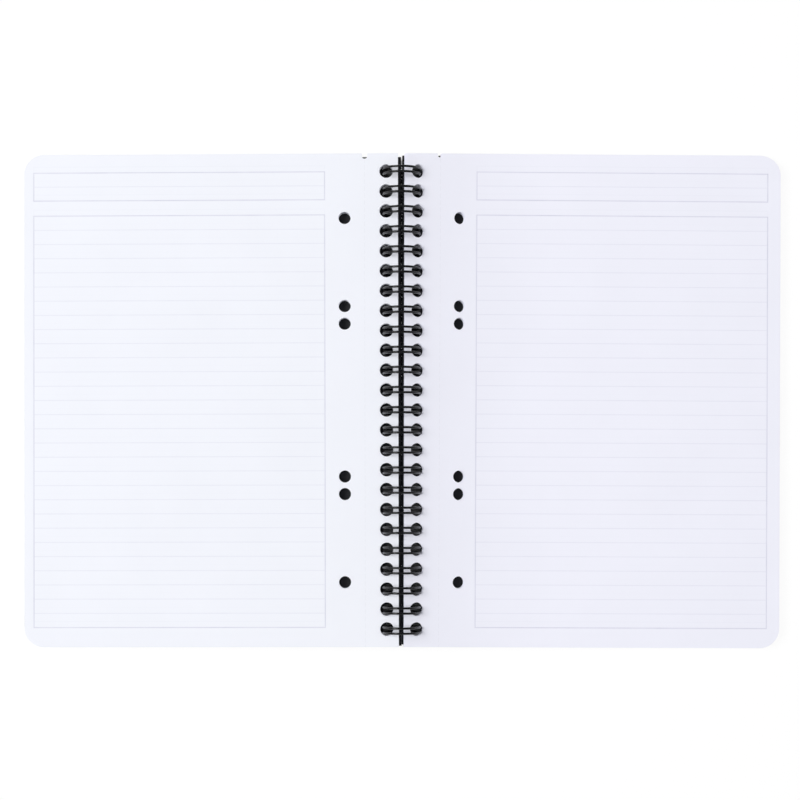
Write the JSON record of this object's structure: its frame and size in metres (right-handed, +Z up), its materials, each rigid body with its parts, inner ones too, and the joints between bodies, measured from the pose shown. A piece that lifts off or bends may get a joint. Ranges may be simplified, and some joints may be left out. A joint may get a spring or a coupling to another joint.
{
  "type": "wire-bound notebook",
  "caption": "Ruled notebook lying open and flat, its punched sheets and plastic covers held by a twin-loop wire they turn on.",
  "frame": {"origin": "under the middle of the binding, on the surface that the open notebook lies on", "axes": "+X to the right page, +Y to the heads of the pages, +Z up from the open pages"},
  "size_m": [0.3234, 0.21, 0.0164],
  "materials": {
    "wire": "gloss black coating on steel wire",
    "cover": "black sheet with a fine matt grain",
    "left_paper": "smooth matt white with pale ruling",
    "right_paper": "smooth matt white with pale ruling"
  },
  "bodies": {
    "binding": {"wire_binding": "wire"},
    "left_half": {"front_cover": "cover", "left_pages": "left_paper"},
    "right_half": {"back_cover": "cover", "right_pages": "right_paper"}
  },
  "joints": [
    {"name": "front_cover_turn", "type": "hinge", "parent": "binding", "child": "left_half", "pos_m": [0, 0, 0.0082], "axis": [0, 1, 0], "range_deg": [0, 90.9]},
    {"name": "back_cover_turn", "type": "hinge", "parent": "binding", "child": "right_half", "pos_m": [0, 0, 0.0082], "axis": [0, -1, 0], "range_deg": [0, 90.9]}
  ]
}
